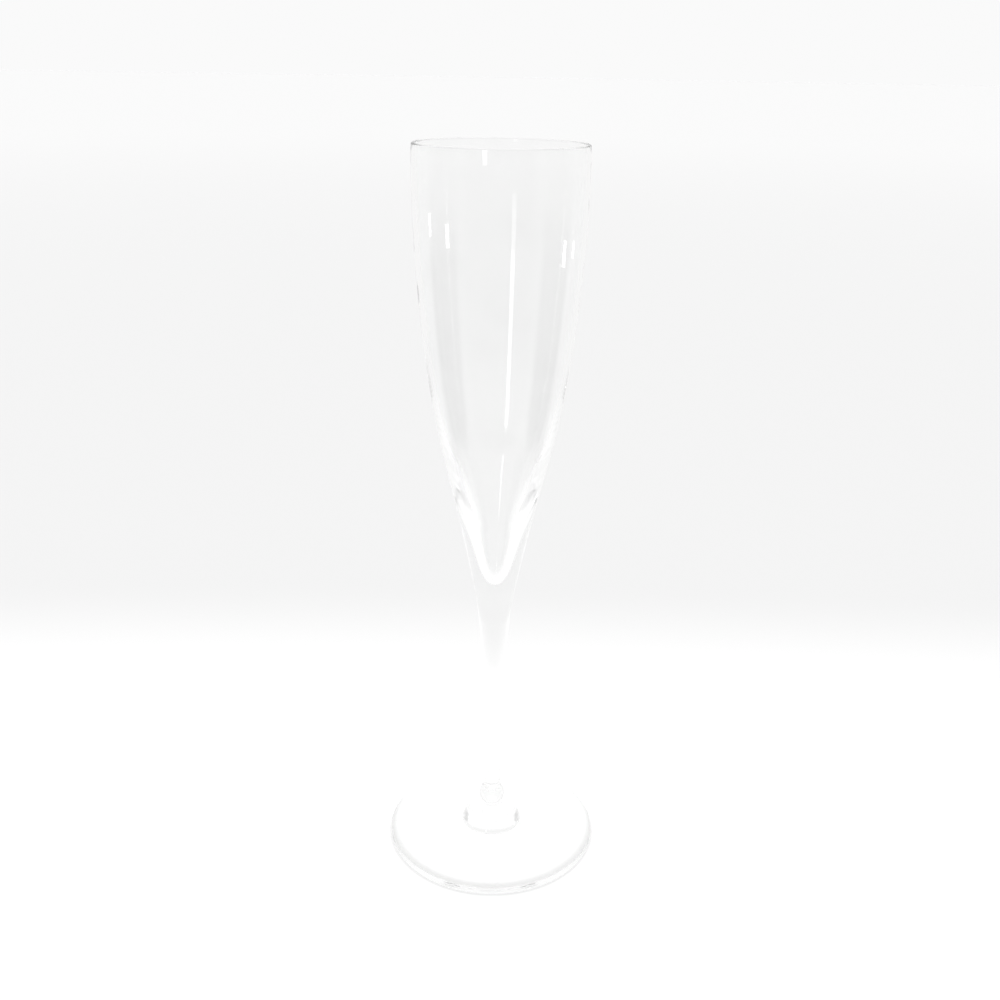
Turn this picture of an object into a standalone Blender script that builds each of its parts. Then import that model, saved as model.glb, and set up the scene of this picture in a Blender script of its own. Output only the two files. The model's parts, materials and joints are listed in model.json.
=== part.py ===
"""A tall champagne flute of clear crystal, built the way a glass shop builds it.

Five pieces of glass are gathered, shaped and welded to each other while hot: the blown bowl
with its solid base, the drawn stem, the ball knop, the button, and the foot. Each one here is
a closed solid turned about +Z. Lengths are in metres. The origin is the middle of the foot's
underside, so the flute stands on z = 0.

An outline is a list of (radius, height) points. It starts on the axis at the top of its piece,
runs down the outside and ends on the axis below. The bowl's starts at the bottom of its well,
climbs the inner wall and comes down the outer one.
"""

import math
from collections import namedtuple

import bmesh
import bpy
from mathutils import Vector
from mathutils.geometry import interpolate_bezier

# A place on a turned wall: its radius and height, how far the wall leans outwards for each
# metre that it rises, and how far the curve holds that lean above and below
Station = namedtuple("Station", "radius height lean above below")

# Driving dimensions
HEIGHT = 0.235
RIM_RADIUS = 0.0256
FOOT_RADIUS = 0.036
LIP_WALL = 0.0010
WELD_GAP = 0.0003

# Bowl, outside: nearly upright at the rim, leaning most at the waist, slim at the throat
BOWL_RIM = Station(RIM_RADIUS, HEIGHT - LIP_WALL / 2, -0.022, 0.0, 0.032)
BOWL_WAIST = Station(0.0171, 0.1432, 0.244, 0.020, 0.0165)
BOWL_THROAT = Station(0.0051, 0.084, 0.060, 0.0095, 0.013)

# Bowl, inside: a thin wall down to the waist, then a narrow well with a round tip
WELL_LIP = Station(RIM_RADIUS - LIP_WALL, HEIGHT - LIP_WALL / 2, -0.022, 0.0, 0.032)
WELL_WAIST = Station(0.0147, 0.1432, 0.356, 0.017, 0.011)
WELL_NECK = Station(0.0072, 0.1217, 0.345, 0.0092, 0.0108)
WELL_TIP_HEIGHT = 0.0987
WELL_TIP_WIDTH = 0.0033

# Stem: drawn out slim, and pinched where it meets the knop
STEM_SLIM = Station(0.00295, 0.028, 0.004, 0.030, 0.005)
STEM_END_RADIUS = 0.0026
STEM_END_LEAN = 0.10
STEM_END_REACH = 0.002

# Knop: a ball that the stem and the button cut flat
KNOP_RADIUS = 0.0043
KNOP_HEIGHT = 0.0146

# Button: a low cushion, steep at its side
BUTTON_TOP_RADIUS = 0.0030
BUTTON_TOP_HEIGHT = 0.0115
BUTTON_SHOULDER_RADIUS = 0.0086
BUTTON_SHOULDER_HEIGHT = 0.0085
BUTTON_BASE_RADIUS = 0.0106

# Foot: a disc that thins towards a rolled edge, flat where it stands and kicked up inside that
FOOT_CENTRE_HEIGHT = 0.0044
FOOT_ROLL_RADIUS = 0.0330
FOOT_ROLL_HEIGHT = 0.0025
FOOT_EDGE_RADIUS = 0.0010
STANDING_RING_INNER = 0.029
KICK_HEIGHT = 0.0014

# Steps round a piece, and along one stretch of an outline
BOWL_SIDES = 48
STEM_SIDES = 32
KNOP_SIDES = 32
BUTTON_SIDES = 40
FOOT_SIDES = 56
LONG_STEPS = 8
SHORT_STEPS = 5
CREASE_ANGLE = math.radians(40)


def bezier(start, start_handle, end_handle, end, steps):
    """Points of one Bezier stretch between two (radius, height) points, both ends included."""
    corners = [Vector((r, 0.0, z)) for r, z in (start, start_handle, end_handle, end)]
    return [(p.x, p.z) for p in interpolate_bezier(*corners, steps + 1)]


def arc(centre, radius, start_deg, end_deg, steps):
    """Points of an arc round a (radius, height) centre, from one angle to another."""
    points = []
    for i in range(steps + 1):
        angle = math.radians(start_deg + (end_deg - start_deg) * i / steps)
        points.append((centre[0] + radius * math.cos(angle), centre[1] + radius * math.sin(angle)))
    return points


def lean_point(station, rise):
    """The point that lies a length rise up the wall's lean from a station, or down if negative."""
    share = rise / math.hypot(station.lean, 1.0)
    return (station.radius + station.lean * share, station.height + share)


def wall(*stations, steps=LONG_STEPS):
    """Points down a smooth wall through stations that are given from top to bottom."""
    points = [(stations[0].radius, stations[0].height)]
    for upper, lower in zip(stations, stations[1:]):
        start = (upper.radius, upper.height)
        end = (lower.radius, lower.height)
        upper_handle = lean_point(upper, -upper.below)
        lower_handle = lean_point(lower, lower.above)
        points += bezier(start, upper_handle, lower_handle, end, steps)[1:]
    return points


def closed(points):
    """An outline whose top and bottom are flat, as two welded faces are."""
    return [(0.0, points[0][1])] + points + [(0.0, points[-1][1])]


def glass(name, tint):
    """Clear glass with a very slight tint."""
    material = bpy.data.materials.new(name)
    material.use_nodes = True
    shader = material.node_tree.nodes["Principled BSDF"]
    shader.inputs["Base Color"].default_value = (*tint, 1.0)
    shader.inputs["Metallic"].default_value = 0.0
    shader.inputs["Roughness"].default_value = 0.02
    shader.inputs["IOR"].default_value = 1.54
    shader.inputs["Transmission Weight"].default_value = 1.0
    return material


def turn(name, outline, sides, material):
    """A closed piece turned about +Z from an outline that starts and ends on the axis."""
    bm = bmesh.new()
    verts = [bm.verts.new((r, 0.0, z)) for r, z in outline]
    edges = [bm.edges.new(pair) for pair in zip(verts, verts[1:])]
    bmesh.ops.spin(
        bm, geom=verts + edges, cent=(0, 0, 0), axis=(0, 0, 1), angle=math.tau, steps=sides
    )
    bmesh.ops.remove_doubles(bm, verts=bm.verts, dist=1e-6)
    bmesh.ops.recalc_face_normals(bm, faces=bm.faces)
    mesh = bpy.data.meshes.new(name)
    bm.to_mesh(mesh)
    bm.free()
    mesh.shade_smooth()
    mesh.set_sharp_from_angle(angle=CREASE_ANGLE)
    mesh.materials.append(material)
    piece = bpy.data.objects.new(name, mesh)
    bpy.context.collection.objects.link(piece)
    return piece


def bowl_outline():
    tip = (0.0, WELL_TIP_HEIGHT)
    neck = (WELL_NECK.radius, WELL_NECK.height)
    tip_handle = (WELL_TIP_WIDTH, WELL_TIP_HEIGHT)
    well = bezier(tip, tip_handle, lean_point(WELL_NECK, -WELL_NECK.below), neck, LONG_STEPS)
    inside = wall(WELL_LIP, WELL_WAIST, WELL_NECK)[::-1]
    lip = arc((RIM_RADIUS - LIP_WALL / 2, BOWL_RIM.height), LIP_WALL / 2, 180, 0, 6)
    throat = BOWL_THROAT._replace(height=BOWL_THROAT.height + WELD_GAP / 2)
    outside = wall(BOWL_RIM, BOWL_WAIST, throat)
    return well[:-1] + inside[:-1] + lip[:-1] + outside + [(0.0, throat.height)]


def stem_outline():
    throat = BOWL_THROAT._replace(height=BOWL_THROAT.height - WELD_GAP / 2)
    end_height = KNOP_HEIGHT + math.sqrt(KNOP_RADIUS**2 - STEM_END_RADIUS**2) + WELD_GAP / 2
    end = Station(STEM_END_RADIUS, end_height, STEM_END_LEAN, STEM_END_REACH, 0.0)
    shank = wall(throat, STEM_SLIM)
    pinch = wall(STEM_SLIM, end, steps=SHORT_STEPS)
    return closed(shank + pinch[1:])


def knop_outline():
    top = math.sqrt(KNOP_RADIUS**2 - STEM_END_RADIUS**2) - WELD_GAP / 2
    bottom = KNOP_HEIGHT - BUTTON_TOP_HEIGHT - WELD_GAP / 2
    top_deg = math.degrees(math.asin(top / KNOP_RADIUS))
    bottom_deg = math.degrees(math.asin(bottom / KNOP_RADIUS))
    return closed(arc((0.0, KNOP_HEIGHT), KNOP_RADIUS, top_deg, -bottom_deg, 2 * SHORT_STEPS))


def button_outline():
    top = (BUTTON_TOP_RADIUS, BUTTON_TOP_HEIGHT - WELD_GAP / 2)
    shoulder = (BUTTON_SHOULDER_RADIUS, BUTTON_SHOULDER_HEIGHT)
    base = (BUTTON_BASE_RADIUS, FOOT_CENTRE_HEIGHT + WELD_GAP / 2)
    crown = bezier(top, (0.0045, 0.0106), (0.0074, 0.0098), shoulder, SHORT_STEPS)
    side = bezier(shoulder, (0.0095, 0.0074), (0.0097, 0.0052), base, SHORT_STEPS)
    return closed(crown + side[1:])


def foot_outline():
    top = (BUTTON_BASE_RADIUS, FOOT_CENTRE_HEIGHT - WELD_GAP / 2)
    roll = (FOOT_ROLL_RADIUS, FOOT_ROLL_HEIGHT)
    edge_centre = (FOOT_RADIUS - FOOT_EDGE_RADIUS, FOOT_EDGE_RADIUS)
    edge = arc(edge_centre, FOOT_EDGE_RADIUS, 0, -90, SHORT_STEPS)
    deck = bezier(top, (0.0160, 0.0036), (0.0260, 0.0029), roll, SHORT_STEPS)
    rolled = bezier(roll, (0.0346, 0.0024), (FOOT_RADIUS, 0.0018), edge[0], SHORT_STEPS + 1)
    ring = (STANDING_RING_INNER, 0.0)
    kick = bezier(ring, (0.022, 0.0003), (0.010, KICK_HEIGHT), (0.0, KICK_HEIGHT), SHORT_STEPS)
    return [(0.0, top[1])] + deck + rolled[1:] + edge[1:] + kick


def build():
    for item in list(bpy.data.objects):
        bpy.data.objects.remove(item)
    turn("bowl", bowl_outline(), BOWL_SIDES, glass("bowl_crystal", (0.97, 0.98, 0.97)))
    turn("stem", stem_outline(), STEM_SIDES, glass("stem_crystal", (0.98, 0.98, 0.98)))
    turn("knop", knop_outline(), KNOP_SIDES, glass("knop_crystal", (0.98, 0.98, 0.98)))
    turn("foot_button", button_outline(), BUTTON_SIDES, glass("button_crystal", (0.97, 0.98, 0.98)))
    turn("foot", foot_outline(), FOOT_SIDES, glass("foot_crystal", (0.96, 0.98, 0.97)))


build()
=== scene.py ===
"""A tall champagne flute of clear, fire-polished crystal, standing in soft studio light.

The glass is five gathers turned and welded while hot: the blown bowl with its pointed well and
solid base, the drawn stem, the ball knop, the button and the foot. Each is a closed turned solid.
Neighbours meet face to face at a weld, and those faces have no alpha, so that light passes from
one piece into the next. Lengths are in metres, in the frame's own coordinates.
"""

import json
import math
from collections import namedtuple

import bmesh
import bpy
from mathutils import Matrix, Vector, noise
from mathutils.geometry import interpolate_bezier


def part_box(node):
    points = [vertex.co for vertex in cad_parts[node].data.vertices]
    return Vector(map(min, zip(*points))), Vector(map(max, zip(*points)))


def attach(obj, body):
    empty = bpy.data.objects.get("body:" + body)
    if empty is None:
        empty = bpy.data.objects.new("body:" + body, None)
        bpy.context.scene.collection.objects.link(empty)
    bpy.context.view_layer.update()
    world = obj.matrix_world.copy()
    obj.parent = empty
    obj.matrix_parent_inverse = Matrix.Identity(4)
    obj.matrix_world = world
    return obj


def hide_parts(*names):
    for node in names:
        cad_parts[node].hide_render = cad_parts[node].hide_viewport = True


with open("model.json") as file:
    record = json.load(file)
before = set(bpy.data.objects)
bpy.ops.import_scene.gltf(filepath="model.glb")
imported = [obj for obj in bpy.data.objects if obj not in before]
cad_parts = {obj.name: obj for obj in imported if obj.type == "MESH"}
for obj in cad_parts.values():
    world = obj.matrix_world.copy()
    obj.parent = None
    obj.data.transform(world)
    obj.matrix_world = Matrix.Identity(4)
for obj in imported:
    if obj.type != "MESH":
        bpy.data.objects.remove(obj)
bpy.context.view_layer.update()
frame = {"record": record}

# A place on a turned wall: its radius and height, how far the wall leans outwards for each
# metre that it rises, and how far the curve holds that lean above and below
Station = namedtuple("Station", "radius height lean above below")

# Where a smooth change of a value starts and ends
Span = namedtuple("Span", "start end")

# A strip light: its bearing from the front, how far off it stands, the lowest and highest angle
# that it fills as seen from the bowl, its width in degrees, and its radiance
Strip = namedtuple("Strip", "name bearing reach low_deg high_deg width_deg radiance")


# ---------------------------------------------------------------- sizes, from the frame

def weld_height(upper, lower):
    """Half way through the gap that the frame leaves between two welded pieces."""
    return (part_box(upper)[0].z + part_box(lower)[1].z) / 2


LIP_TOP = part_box("bowl")[1].z
BELLY_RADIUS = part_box("bowl")[1].x
THROAT_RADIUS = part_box("stem")[1].x
THROAT_HEIGHT = weld_height("bowl", "stem")
STEM_END_HEIGHT = weld_height("stem", "knop")
KNOP_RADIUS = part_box("knop")[1].x
BUTTON_TOP_HEIGHT = weld_height("knop", "foot_button")
BUTTON_BASE_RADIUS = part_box("foot_button")[1].x
FOOT_CENTRE_HEIGHT = weld_height("foot_button", "foot")
FOOT_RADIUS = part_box("foot")[1].x

# Bowl, outside: nearly upright at the rim, leaning most at the waist, slim at the throat
LIP_WALL = 0.0010
RIM_RADIUS = 0.998 * BELLY_RADIUS
WAIST_HEIGHT = THROAT_HEIGHT + 0.0592
BOWL_RIM = Station(RIM_RADIUS, LIP_TOP - LIP_WALL / 2, -0.022, 0.0, 0.032)
BOWL_WAIST = Station(0.667 * BELLY_RADIUS, WAIST_HEIGHT, 0.244, 0.020, 0.0165)
BOWL_THROAT = Station(THROAT_RADIUS, THROAT_HEIGHT, 0.060, 0.0095, 0.013)

# Bowl, inside: a thin wall down to the waist, then a narrow well with a round tip
WELL_LIP = Station(RIM_RADIUS - LIP_WALL, LIP_TOP - LIP_WALL / 2, -0.022, 0.0, 0.032)
WELL_WAIST = Station(0.573 * BELLY_RADIUS, WAIST_HEIGHT, 0.356, 0.017, 0.011)
WELL_NECK = Station(0.281 * BELLY_RADIUS, THROAT_HEIGHT + 0.0377, 0.345, 0.0092, 0.0108)
WELL_TIP_HEIGHT = THROAT_HEIGHT + 0.0147
WELL_TIP_WIDTH = 0.0033

# Stem: drawn out slim, and pinched where it meets the knop
STEM_SLIM = Station(0.00295, 0.028, 0.004, 0.030, 0.005)
STEM_END_RADIUS = 0.0027
STEM_END_REACH = 0.002

# Knop: how far out from a seam the melted glass meets the ball, and how full that hollow is
MELT = 0.0006
MELT_FULLNESS = 0.45

# Button: a low cushion, steep at its side
BUTTON_TOP_RADIUS = 0.0031
BUTTON_SHOULDER = (0.0086, 0.0085)
CROWN_HANDLES = ((BUTTON_TOP_RADIUS, 0.0103), (0.0074, 0.0098))
SIDE_HANDLES = ((0.0095, 0.0074), (0.0096, 0.0048))

# Foot: a disc that thins towards a rolled edge, flat where it stands and kicked up inside that
FOOT_ROLL = (0.917 * FOOT_RADIUS, 0.0025)
FOOT_EDGE_RADIUS = 0.0010
STANDING_RING_INNER = 0.029
KICK_HEIGHT = 0.0014
DECK_HANDLES = ((0.0160, 0.0036), (0.0260, 0.0029))
ROLL_HANDLES = ((0.0346, 0.0024), (FOOT_RADIUS, 0.0018))
KICK_HANDLES = ((0.022, 0.0003), (0.010, KICK_HEIGHT))

# Steps round a piece, how far its wall wavers, and the turn that counts as a crease
SIDES = 192
WAVER = 0.00004
CREASE_ANGLE = math.radians(50)

# Glass
CLEAR = (0.997, 0.998, 0.997)
CRYSTAL_IOR = 1.54
FILM_ROUGHNESS = 0.03
FILM_DIMMING = 0.985

# Floor, seen direct: a painted pool of light, brightest in an oval that is long from side to
# side, and a painted shadow, a crescent darkened under the front of the foot's edge
FLOOR_RADIUS = 40.0
FLOOR_DROP = 0.00005
FLOOR_NEAR = 0.91
FLOOR_FAR = 0.79
FLOOR_DISTANT = 0.835
OVAL_SQUEEZE = 0.04
OVAL_EDGE = Span(0.09, 0.20)
DISTANT_EDGE = Span(0.6, 4.5)
SHADE_SHIFT = 0.0028
SHADE_DEPTH = 0.18
SHADE_INNER = Span(FOOT_RADIUS - 0.0026, FOOT_RADIUS - 0.0008)
SHADE_OUTER = Span(FOOT_RADIUS - 0.0004, FOOT_RADIUS + 0.0008)

# Floor, mirrored in the glass: a painted reflection that glows in its own set of tones, dark at
# both sides and dim in front
MIRRORED_NEAR = 1.05
MIRRORED_FAR = 0.93
MIRRORED_EDGE = Span(0.20, 0.45)
SIDE_NEAR = 0.35
SIDE_FAR = 0.80
SIDE_REACH = Span(0.3, 1.8)
SIDE_START = Span(0.14, 0.22)
SIDE_FRONT = Span(-0.60, -0.45)
SIDE_BACK = Span(0.18, 0.34)
FRONT_TONE = 0.78
FRONT_TURN = Span(-0.75, -0.45)
FRONT_START = Span(0.2, 0.5)

# Air, seen direct
PALE = 0.955
PALE_TOP = 0.75
PALE_RISE = Span(0.1, 0.9)

# Air, mirrored in the glass: a bright ceiling, a screen part way up, and a dim front
ROOM_TONE = 0.92
CEILING_TONE = 1.05
CEILING_RISE = Span(0.2, 0.6)
SCREEN_TONE = 0.70
SCREEN_TURN = Span(0.5, 0.9)
SCREEN_BOTTOM = Span(0.36, 0.46)
SCREEN_TOP = Span(0.62, 0.72)
FRONT_HIGH_TONE = 0.40
FRONT_RISE = Span(0.2, 0.4)
AIR_FRONT = Span(-0.6, -0.3)

# Lights. Only a strip further off than NEAR_REACH is seen through the glass as well as in it.
OVERHEAD = 1.08
OVERHEAD_SPREAD = math.radians(60)
STROKE_HEIGHT = 0.205
NEAR_REACH = 1.0
STRIPS = [
    Strip("window_strip", -19.8, 3.2, -1.3, 12.0, 6.0, 4.0),
    Strip("window_sill", -19.8, 3.2, -2.8, -1.3, 6.0, 1.25),
    Strip("lamp_left_near", -71.0, 0.8, -12.2, -9.3, 5.0, 10.0),
    Strip("lamp_left_far", -102.0, 0.8, -10.2, -7.6, 4.5, 4.0),
    Strip("lamp_right_near", 94.0, 0.8, -13.6, -10.7, 5.0, 10.0),
    Strip("lamp_right_far", 113.0, 0.8, -11.9, -10.2, 4.5, 4.5),
]

# Camera: just above the rim, and about a forearm's length in front
LENS = 39.3
EYE_RIGHT = 0.00127
EYE_DISTANCE = 0.324
EYE_RISE = 0.0193
EYE_DOWN_DEG = 21.53
EYE_ROLL_DEG = 0.93


# ---------------------------------------------------------------- turned outlines

def bezier(start, start_handle, end_handle, end, steps):
    """Points of one Bezier stretch between two (radius, height) points, both ends included."""
    corners = [Vector((r, 0.0, z)) for r, z in (start, start_handle, end_handle, end)]
    return [(p.x, p.z) for p in interpolate_bezier(*corners, steps + 1)]


def arc(centre, radius, start_deg, end_deg, steps):
    """Points of an arc round a (radius, height) centre, from one angle to another."""
    points = []
    for i in range(steps + 1):
        angle = math.radians(start_deg + (end_deg - start_deg) * i / steps)
        points.append((centre[0] + radius * math.cos(angle), centre[1] + radius * math.sin(angle)))
    return points


def lean_point(station, rise):
    """The point that lies a length rise up the wall's lean from a station, or down if negative."""
    share = rise / math.hypot(station.lean, 1.0)
    return (station.radius + station.lean * share, station.height + share)


def wall(*stations, steps):
    """Points down a smooth wall through stations that are given from top to bottom."""
    points = [(stations[0].radius, stations[0].height)]
    for upper, lower in zip(stations, stations[1:]):
        start = (upper.radius, upper.height)
        end = (lower.radius, lower.height)
        upper_handle = lean_point(upper, -upper.below)
        lower_handle = lean_point(lower, lower.above)
        points += bezier(start, upper_handle, lower_handle, end, steps)[1:]
    return points


def bowl_wall():
    tip = (0.0, WELL_TIP_HEIGHT)
    neck = (WELL_NECK.radius, WELL_NECK.height)
    tip_handle = (WELL_TIP_WIDTH, WELL_TIP_HEIGHT)
    well = bezier(tip, tip_handle, lean_point(WELL_NECK, -WELL_NECK.below), neck, steps=64)
    inside = wall(WELL_LIP, WELL_WAIST, WELL_NECK, steps=48)[::-1]
    lip = arc((RIM_RADIUS - LIP_WALL / 2, BOWL_RIM.height), LIP_WALL / 2, 180, 0, steps=48)
    outside = wall(BOWL_RIM, BOWL_WAIST, BOWL_THROAT, steps=56)
    return well[:-1] + inside[:-1] + lip[:-1] + outside


def stem_wall():
    shank = wall(BOWL_THROAT, STEM_SLIM, steps=60)
    slim = (STEM_SLIM.radius, STEM_SLIM.height)
    end = (STEM_END_RADIUS, STEM_END_HEIGHT)
    slim_handle = lean_point(STEM_SLIM, -STEM_SLIM.below)
    end_handle = (STEM_END_RADIUS, STEM_END_HEIGHT + STEM_END_REACH)
    return shank[:-1] + bezier(slim, slim_handle, end_handle, end, steps=20)


def melted(seam, on_ball, at_deg):
    """The little hollow curve from an upright seam to the ball's surface."""
    reach = MELT_FULLNESS * math.dist(seam, on_ball)
    towards = math.copysign(1.0, seam[1] - on_ball[1])
    seam_handle = (seam[0], seam[1] - towards * reach)
    angle = math.radians(at_deg)
    ball_handle = (
        on_ball[0] - reach * abs(math.sin(angle)),
        on_ball[1] + towards * reach * math.cos(angle),
    )
    return bezier(seam, seam_handle, ball_handle, on_ball, steps=10)


def knop_wall():
    """The ball, with the glass drawn smooth where it joins its neighbours."""
    centre = (0.0, (STEM_END_HEIGHT + BUTTON_TOP_HEIGHT) / 2)
    top_deg = math.degrees(math.acos((STEM_END_RADIUS + MELT) / KNOP_RADIUS))
    bottom_deg = -math.degrees(math.acos((BUTTON_TOP_RADIUS + MELT) / KNOP_RADIUS))
    ball = arc(centre, KNOP_RADIUS, top_deg, bottom_deg, steps=60)
    top = (STEM_END_RADIUS, STEM_END_HEIGHT)
    bottom = (BUTTON_TOP_RADIUS, BUTTON_TOP_HEIGHT)
    return melted(top, ball[0], top_deg) + ball[1:-1] + melted(bottom, ball[-1], bottom_deg)[::-1]


def button_wall():
    top = (BUTTON_TOP_RADIUS, BUTTON_TOP_HEIGHT)
    base = (BUTTON_BASE_RADIUS, FOOT_CENTRE_HEIGHT)
    crown = bezier(top, *CROWN_HANDLES, BUTTON_SHOULDER, steps=44)
    side = bezier(BUTTON_SHOULDER, *SIDE_HANDLES, base, steps=36)
    return crown[:-1] + side


def foot_wall():
    top = (BUTTON_BASE_RADIUS, FOOT_CENTRE_HEIGHT)
    edge_centre = (FOOT_RADIUS - FOOT_EDGE_RADIUS, FOOT_EDGE_RADIUS)
    edge = arc(edge_centre, FOOT_EDGE_RADIUS, 0, -90, steps=32)
    deck = bezier(top, *DECK_HANDLES, FOOT_ROLL, steps=40)
    rolled = bezier(FOOT_ROLL, *ROLL_HANDLES, edge[0], steps=48)
    ring = (STANDING_RING_INNER, 0.0)
    kick = bezier(ring, *KICK_HANDLES, (0.0, KICK_HEIGHT), steps=30)
    return deck[:-1] + rolled[:-1] + edge + kick


# ---------------------------------------------------------------- glass

def new_group(name, inputs, outputs):
    """A shader node group with the named inputs (name, kind, value) and outputs (name, kind)."""
    group = bpy.data.node_groups.new(name, "ShaderNodeTree")
    for label, kind, value in inputs:
        socket = group.interface.new_socket(label, in_out="INPUT", socket_type=kind)
        socket.default_value = value
    for label, kind in outputs:
        group.interface.new_socket(label, in_out="OUTPUT", socket_type=kind)
    source = group.nodes.new("NodeGroupInput")
    sink = group.nodes.new("NodeGroupOutput")
    return group, source, sink


def hand_ripple():
    """Height of the slow ripple that blowing and turning leave in a wall of glass."""
    group, source, sink = new_group(
        "hand_ripple",
        [("Ring Spacing", "NodeSocketFloat", 0.004), ("Seed", "NodeSocketFloat", 0.0)],
        [("Height", "NodeSocketFloat")],
    )
    nodes, links = group.nodes, group.links
    place = nodes.new("ShaderNodeTexCoord")
    stretch = nodes.new("ShaderNodeMapping")
    stretch.inputs["Scale"].default_value = (0.35, 0.35, 1.0)
    scale = nodes.new("ShaderNodeMath")
    scale.operation = "DIVIDE"
    scale.inputs[0].default_value = 1.0
    ripple = nodes.new("ShaderNodeTexNoise")
    ripple.noise_dimensions = "4D"
    ripple.inputs["Detail"].default_value = 1.0
    links.new(place.outputs["Object"], stretch.inputs["Vector"])
    links.new(source.outputs["Ring Spacing"], scale.inputs[1])
    links.new(stretch.outputs["Vector"], ripple.inputs["Vector"])
    links.new(scale.outputs[0], ripple.inputs["Scale"])
    links.new(source.outputs["Seed"], ripple.inputs["W"])
    links.new(ripple.outputs["Fac"], sink.inputs["Height"])
    return group


def wiping_film():
    """Where a cloth has left a trace: soft patches, and a scatter of dried specks."""
    group, source, sink = new_group(
        "wiping_film",
        [
            ("Clean", "NodeSocketFloat", 0.0),
            ("Filmed", "NodeSocketFloat", 0.05),
            ("Patch Size", "NodeSocketFloat", 0.015),
        ],
        [("Roughness", "NodeSocketFloat"), ("Film", "NodeSocketFloat")],
    )
    nodes, links = group.nodes, group.links
    place = nodes.new("ShaderNodeTexCoord")
    scale = nodes.new("ShaderNodeMath")
    scale.operation = "DIVIDE"
    scale.inputs[0].default_value = 1.0
    patches = nodes.new("ShaderNodeTexNoise")
    patches.inputs["Detail"].default_value = 4.0
    shaped = nodes.new("ShaderNodeMapRange")
    shaped.inputs["From Min"].default_value = 0.48
    shaped.inputs["From Max"].default_value = 0.72
    shaped.interpolation_type = "SMOOTHSTEP"
    amount = nodes.new("ShaderNodeMapRange")
    links.new(source.outputs["Patch Size"], scale.inputs[1])
    links.new(place.outputs["Object"], patches.inputs["Vector"])
    links.new(scale.outputs[0], patches.inputs["Scale"])
    links.new(patches.outputs["Fac"], shaped.inputs["Value"])
    links.new(shaped.outputs["Result"], amount.inputs["Value"])
    links.new(source.outputs["Clean"], amount.inputs["To Min"])
    links.new(source.outputs["Filmed"], amount.inputs["To Max"])
    links.new(amount.outputs["Result"], sink.inputs["Roughness"])
    links.new(shaped.outputs["Result"], sink.inputs["Film"])
    return group


def crystal(name, ripple_depth, ring_spacing, seed):
    """Clear crystal. Shadow rays pass straight through it, so that it throws only a faint shadow."""
    material = bpy.data.materials.new(name)
    material.use_nodes = True
    nodes, links = material.node_tree.nodes, material.node_tree.links
    surface = nodes["Principled BSDF"]
    surface.inputs["Transmission Weight"].default_value = 1.0
    surface.inputs["Metallic"].default_value = 0.0
    surface.inputs["IOR"].default_value = CRYSTAL_IOR

    film = nodes.new("ShaderNodeGroup")
    film.node_tree = FILM
    film.inputs["Clean"].default_value = 0.0
    film.inputs["Filmed"].default_value = FILM_ROUGHNESS
    links.new(film.outputs["Roughness"], surface.inputs["Roughness"])

    colour = nodes.new("ShaderNodeMix")
    colour.data_type = "RGBA"
    colour.inputs["A"].default_value = (*CLEAR, 1.0)
    colour.inputs["B"].default_value = (*[FILM_DIMMING * c for c in CLEAR], 1.0)
    links.new(film.outputs["Film"], colour.inputs["Factor"])
    links.new(colour.outputs["Result"], surface.inputs["Base Color"])

    ripple = nodes.new("ShaderNodeGroup")
    ripple.node_tree = RIPPLE
    ripple.inputs["Ring Spacing"].default_value = ring_spacing
    ripple.inputs["Seed"].default_value = seed
    bump = nodes.new("ShaderNodeBump")
    bump.inputs["Strength"].default_value = 1.0
    bump.inputs["Distance"].default_value = ripple_depth
    links.new(ripple.outputs["Height"], bump.inputs["Height"])
    links.new(bump.outputs["Normal"], surface.inputs["Normal"])

    path = nodes.new("ShaderNodeLightPath")
    lamp_or_room = nodes.new("ShaderNodeMath")
    lamp_or_room.operation = "MAXIMUM"
    lets_through = nodes.new("ShaderNodeBsdfTransparent")
    lets_through.inputs["Color"].default_value = (0.998, 0.999, 0.998, 1.0)
    mixed = nodes.new("ShaderNodeMixShader")
    links.new(path.outputs["Is Shadow Ray"], lamp_or_room.inputs[0])
    links.new(path.outputs["Is Diffuse Ray"], lamp_or_room.inputs[1])
    links.new(lamp_or_room.outputs[0], mixed.inputs["Fac"])
    links.new(surface.outputs["BSDF"], mixed.inputs[1])
    links.new(lets_through.outputs["BSDF"], mixed.inputs[2])
    links.new(mixed.outputs["Shader"], nodes["Material Output"].inputs["Surface"])
    return material


def weld_face():
    """The flat face inside a weld. It has no alpha, so a ray goes on into the next piece."""
    material = bpy.data.materials.new("weld_face")
    material.use_nodes = True
    surface = material.node_tree.nodes["Principled BSDF"]
    surface.inputs["Base Color"].default_value = (0.98, 0.98, 0.98, 1.0)
    surface.inputs["Roughness"].default_value = 0.0
    surface.inputs["Alpha"].default_value = 0.0
    return material


FILM = wiping_film()
RIPPLE = hand_ripple()
WELD = weld_face()


# ---------------------------------------------------------------- pieces

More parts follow.
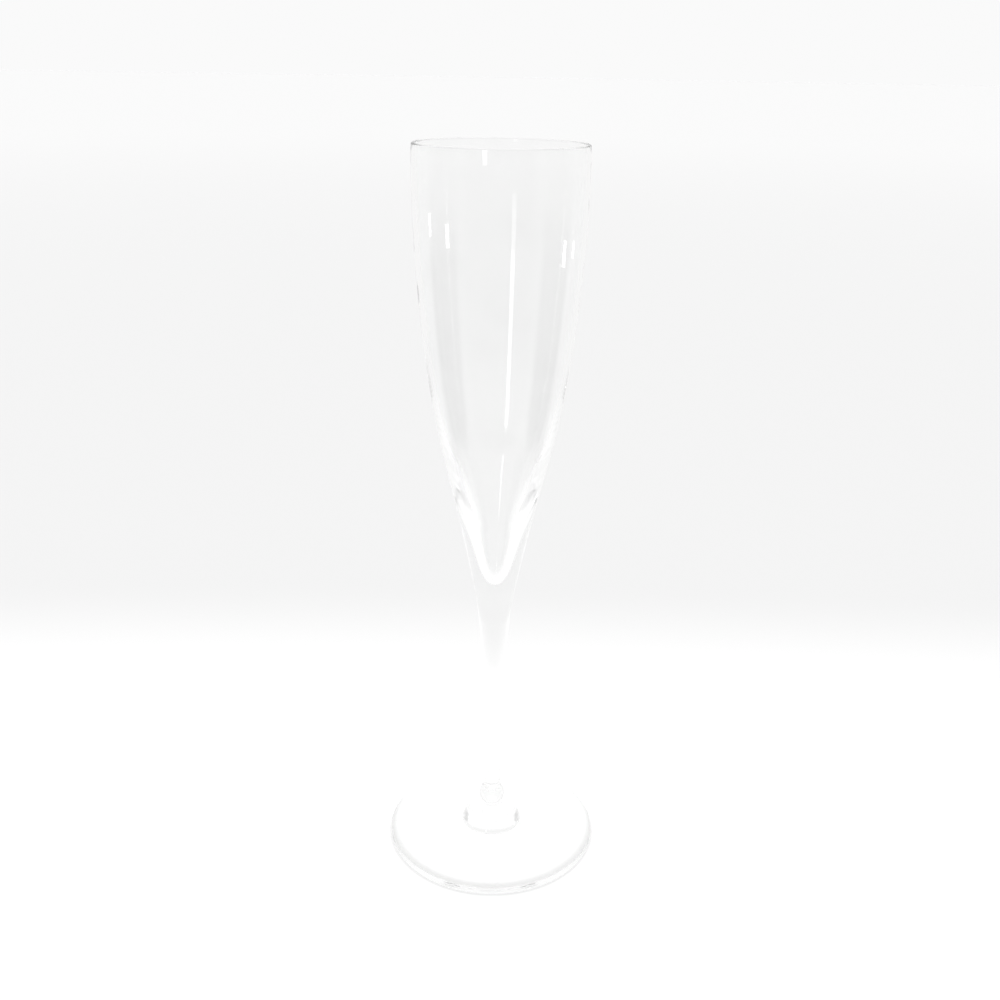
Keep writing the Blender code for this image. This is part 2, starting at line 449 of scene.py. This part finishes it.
def turn(name, points, material, welds):
    """A closed piece turned about +Z. welds are the heights where flat weld faces close it."""
    outline = list(points)
    if outline[0][0] > 0.0:
        outline.insert(0, (0.0, outline[0][1]))
    if outline[-1][0] > 0.0:
        outline.append((0.0, outline[-1][1]))
    bm = bmesh.new()
    verts = [bm.verts.new((r, 0.0, z)) for r, z in outline]
    edges = [bm.edges.new(pair) for pair in zip(verts, verts[1:])]
    bmesh.ops.spin(
        bm, geom=verts + edges, cent=(0, 0, 0), axis=(0, 0, 1), angle=math.tau, steps=SIDES
    )
    bmesh.ops.remove_doubles(bm, verts=bm.verts, dist=1e-6)
    bmesh.ops.recalc_face_normals(bm, faces=bm.faces)
    for face in bm.faces:
        flat = any(all(abs(v.co.z - z) < 1e-6 for v in face.verts) for z in welds)
        face.material_index = 1 if flat else 0
    for vert in bm.verts:
        vert.co = wavered(vert.co)
    mesh = bpy.data.meshes.new(name)
    bm.to_mesh(mesh)
    bm.free()
    mesh.shade_smooth()
    mesh.set_sharp_from_angle(angle=CREASE_ANGLE)
    mesh.materials.append(material)
    mesh.materials.append(WELD)
    piece = bpy.data.objects.new(name, mesh)
    bpy.context.collection.objects.link(piece)
    return piece


def wavered(place):
    """A point of a turned wall, moved by the slight unevenness of glass worked by hand."""
    where = Vector((place.x * 40, place.y * 40, place.z * 30))
    swell = WAVER * noise.noise(where)
    radius = math.hypot(place.x, place.y)
    share = min(1.0, radius / 0.002) * swell / max(radius, 1e-6)
    return Vector((place.x * (1 + share), place.y * (1 + share), place.z))


def blow_glass():
    # Name, node, wall, depth of the ripple, spacing of its rings
    pieces = [
        ("crystal_bowl", "bowl", bowl_wall(), 0.00003, 0.016),
        ("drawn_stem", "stem", stem_wall(), 0.00001, 0.012),
        ("ball_knop", "knop", knop_wall(), 0.00001, 0.008),
        ("cushion_button", "foot_button", button_wall(), 0.00001, 0.008),
        ("round_foot", "foot", foot_wall(), 0.00001, 0.02),
    ]
    slots = {entry["node"]: entry["material_slot"] for entry in frame["record"]["subparts"]}
    welds = (THROAT_HEIGHT, STEM_END_HEIGHT, BUTTON_TOP_HEIGHT, FOOT_CENTRE_HEIGHT)
    for seed, (name, node, points, depth, spacing) in enumerate(pieces):
        glass = crystal(slots[node] + "_clear", depth, spacing, 3.7 * seed)
        piece = turn(name, points, glass, welds)
        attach(piece, "root")
        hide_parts(node)


blow_glass()


# ---------------------------------------------------------------- studio

class Recipe:
    """Short ways to add nodes to one tree."""

    def __init__(self, tree):
        self.nodes = tree.nodes
        self.links = tree.links

    def feed(self, socket, value):
        if isinstance(value, (int, float, tuple)):
            socket.default_value = value
        else:
            self.links.new(value, socket)

    def maths(self, operation, *values):
        node = self.nodes.new("ShaderNodeMath")
        node.operation = operation
        for socket, value in zip(node.inputs, values):
            self.feed(socket, value)
        return node.outputs["Value"]

    def ramp(self, value, span, at_start, at_end):
        """A smooth change from at_start to at_end, as the value crosses the span."""
        node = self.nodes.new("ShaderNodeMapRange")
        node.interpolation_type = "SMOOTHSTEP"
        settings = {
            "From Min": span.start,
            "From Max": span.end,
            "To Min": at_start,
            "To Max": at_end,
        }
        self.feed(node.inputs["Value"], value)
        for label, number in settings.items():
            self.feed(node.inputs[label], number)
        return node.outputs["Result"]

    def between(self, share, first, second):
        node = self.nodes.new("ShaderNodeMix")
        for label, value in (("Factor", share), ("A", first), ("B", second)):
            self.feed(node.inputs[label], value)
        return node.outputs["Result"]

    def apart(self, vector):
        node = self.nodes.new("ShaderNodeSeparateXYZ")
        self.feed(node.inputs["Vector"], vector)
        return node.outputs["X"], node.outputs["Y"], node.outputs["Z"]

    def place(self, output):
        return self.nodes.new("ShaderNodeTexCoord").outputs[output]

    def mirrored(self):
        """1 for light that has been reflected in the glass on its way, else 0."""
        path = self.nodes.new("ShaderNodeLightPath")
        return self.maths("GREATER_THAN", path.outputs["Glossy Depth"], 0.5)


def direct_tone(recipe, x, y, far):
    """The paper's colour, with light and shade painted in: a painted pool of light brightest near
    the flute, and a painted shadow under the foot's front edge.
    """
    square_x, square_y = [recipe.maths("MULTIPLY", v, v) for v in (x, y)]
    oval = recipe.maths("SQRT", recipe.maths("MULTIPLY_ADD", square_x, OVAL_SQUEEZE, square_y))
    distant = recipe.ramp(far, DISTANT_EDGE, FLOOR_FAR, FLOOR_DISTANT)
    # painted pool of light: the floor's colour is brightest in an oval round the flute
    painted_light_pool = recipe.ramp(oval, OVAL_EDGE, FLOOR_NEAR, distant)
    # painted shadow: a crescent under the foot's front edge is darkened in the floor's colour
    shifted = recipe.maths("SUBTRACT", y, SHADE_SHIFT)
    off_centre = recipe.maths("SQRT", recipe.maths("MULTIPLY_ADD", shifted, shifted, square_x))
    inner = recipe.ramp(off_centre, SHADE_INNER, 0.0, 1.0)
    outer = recipe.ramp(far, SHADE_OUTER, 1.0, 0.0)
    painted_shadow = recipe.maths("MULTIPLY", recipe.maths("MULTIPLY", inner, outer), SHADE_DEPTH)
    return recipe.maths("MULTIPLY", painted_light_pool, recipe.maths("SUBTRACT", 1.0, painted_shadow))


def mirrored_tone(recipe, x, y, far):
    """The painted reflection: how bright the floor glows where the glass mirrors it, with painted
    shade that makes it dark at both sides and dim in front.
    """
    back = recipe.maths("DIVIDE", y, far)
    # painted shade: where the glass mirrors the floor, its glow is dark at both sides
    painted_side_shade = recipe.ramp(far, SIDE_REACH, SIDE_NEAR, SIDE_FAR)
    past_paper = recipe.ramp(recipe.maths("ABSOLUTE", x), SIDE_START, 0.0, 1.0)
    beside = recipe.maths(
        "MULTIPLY", recipe.ramp(back, SIDE_FRONT, 0.0, 1.0), recipe.ramp(back, SIDE_BACK, 1.0, 0.0)
    )
    at_side = recipe.maths("MULTIPLY", past_paper, beside)
    # painted shade: where the glass mirrors the floor in front, its glow is dim
    in_front = recipe.maths(
        "MULTIPLY", recipe.ramp(back, FRONT_TURN, 1.0, 0.0), recipe.ramp(far, FRONT_START, 0.0, 1.0)
    )
    behind = recipe.ramp(far, MIRRORED_EDGE, MIRRORED_NEAR, MIRRORED_FAR)
    lit = recipe.between(in_front, behind, FRONT_TONE)
    return recipe.between(at_side, lit, painted_side_shade)


def floor_paper():
    """Pale matt paper, with a painted pool of light and a painted shadow in its colour. The glass
    mirrors it as a painted glow in tones of its own.
    """
    material = bpy.data.materials.new("studio_floor_paper")
    material.use_nodes = True
    recipe = Recipe(material.node_tree)
    paper = recipe.nodes["Principled BSDF"]
    paper.inputs["Roughness"].default_value = 0.9
    paper.inputs["Specular IOR Level"].default_value = 0.0
    x, y, _ = recipe.apart(recipe.place("Object"))
    squares = [recipe.maths("MULTIPLY", v, v) for v in (x, y)]
    far = recipe.maths("SQRT", recipe.maths("ADD", *squares))
    recipe.links.new(direct_tone(recipe, x, y, far), paper.inputs["Base Color"])
    # painted reflection: the floor glows in its own tones wherever the glass mirrors it
    painted_reflection_glow = recipe.nodes.new("ShaderNodeEmission")
    recipe.links.new(mirrored_tone(recipe, x, y, far), painted_reflection_glow.inputs["Color"])
    mixed = recipe.nodes.new("ShaderNodeMixShader")
    recipe.links.new(recipe.mirrored(), mixed.inputs["Fac"])
    recipe.links.new(paper.outputs["BSDF"], mixed.inputs[1])
    recipe.links.new(painted_reflection_glow.outputs["Emission"], mixed.inputs[2])
    recipe.links.new(mixed.outputs["Shader"], recipe.nodes["Material Output"].inputs["Surface"])
    return material


def studio_floor():
    """A wide round floor, a hair below the foot."""
    mesh = bpy.data.meshes.new("studio_floor")
    bm = bmesh.new()
    bmesh.ops.create_circle(bm, cap_ends=True, segments=128, radius=FLOOR_RADIUS)
    for vert in bm.verts:
        vert.co.z = -FLOOR_DROP
    bm.to_mesh(mesh)
    bm.free()
    mesh.materials.append(floor_paper())
    floor = bpy.data.objects.new("studio_floor", mesh)
    bpy.context.collection.objects.link(floor)


def studio_air():
    """Soft light from all round. The glass mirrors a room of its own tones instead."""
    world = bpy.data.worlds.new("studio_air")
    bpy.context.scene.world = world
    world.use_nodes = True
    recipe = Recipe(world.node_tree)
    x, y, z = recipe.apart(recipe.place("Generated"))
    pale = recipe.ramp(z, PALE_RISE, PALE, PALE_TOP)
    lit_room = recipe.ramp(z, CEILING_RISE, ROOM_TONE, CEILING_TONE)
    turn_back = recipe.maths("DIVIDE", y, recipe.maths("ABSOLUTE", x))
    beside = recipe.ramp(turn_back, SCREEN_TURN, 1.0, 0.0)
    high = recipe.maths(
        "MULTIPLY", recipe.ramp(z, SCREEN_BOTTOM, 0.0, 1.0), recipe.ramp(z, SCREEN_TOP, 1.0, 0.0)
    )
    screened = recipe.between(recipe.maths("MULTIPLY", beside, high), lit_room, SCREEN_TONE)
    front = recipe.ramp(z, FRONT_RISE, FRONT_TONE, FRONT_HIGH_TONE)
    mirrored = recipe.between(recipe.ramp(y, AIR_FRONT, 1.0, 0.0), screened, front)
    seen = recipe.between(recipe.mirrored(), pale, mirrored)
    recipe.links.new(seen, recipe.nodes["Background"].inputs["Color"])


def around(bearing_deg, distance, height):
    """A place at a bearing from the front, to the right if positive."""
    angle = math.radians(bearing_deg)
    return Vector((distance * math.sin(angle), -distance * math.cos(angle), height))


def area_light(name, place, aim, width, height, radiance):
    """A soft light that gives the same brightness whatever its size."""
    lamp = bpy.data.lights.new(name, "AREA")
    lamp.shape = "RECTANGLE"
    lamp.size = width
    lamp.size_y = height
    lamp.energy = radiance * math.pi * width * height
    light = bpy.data.objects.new(name, lamp)
    light.location = place
    light.rotation_euler = (aim - place).to_track_quat("-Z", "Y").to_euler()
    light.visible_camera = False
    bpy.context.collection.objects.link(light)
    return light


def studio_lights():
    """An even light from above is for the floor. The strips only draw strokes in the glass."""
    above = bpy.data.lights.new("overhead_light", "SUN")
    above.energy = OVERHEAD
    above.angle = OVERHEAD_SPREAD
    light = bpy.data.objects.new("overhead_light", above)
    light.visible_glossy = False
    light.visible_transmission = False
    bpy.context.collection.objects.link(light)
    for strip in STRIPS:
        low = STROKE_HEIGHT + strip.reach * math.tan(math.radians(strip.low_deg))
        high = STROKE_HEIGHT + strip.reach * math.tan(math.radians(strip.high_deg))
        width = 2 * strip.reach * math.tan(math.radians(strip.width_deg / 2))
        place = around(strip.bearing, strip.reach, (low + high) / 2)
        aim = Vector((0, 0, place.z))
        light = area_light(strip.name, place, aim, width, high - low, strip.radiance)
        light.visible_diffuse = False
        light.visible_transmission = strip.reach > NEAR_REACH


def camera():
    """The eye looks down on the flute from in front, a little above its rim."""
    lens = bpy.data.cameras.new("camera")
    lens.lens = LENS
    lens.clip_start = 0.01
    eye = bpy.data.objects.new("camera", lens)
    place = Matrix.Translation((EYE_RIGHT, -EYE_DISTANCE, LIP_TOP + EYE_RISE))
    tilt = Matrix.Rotation(math.radians(90 - EYE_DOWN_DEG), 4, "X")
    roll = Matrix.Rotation(math.radians(EYE_ROLL_DEG), 4, "Z")
    eye.matrix_world = place @ tilt @ roll
    bpy.context.collection.objects.link(eye)
    bpy.context.scene.camera = eye


studio_floor()
studio_air()
studio_lights()
camera()

scene = bpy.context.scene
scene.view_settings.view_transform = "Standard"
scene.cycles.max_bounces = 400
scene.cycles.transmission_bounces = 400
scene.cycles.glossy_bounces = 400
scene.cycles.transparent_max_bounces = 32
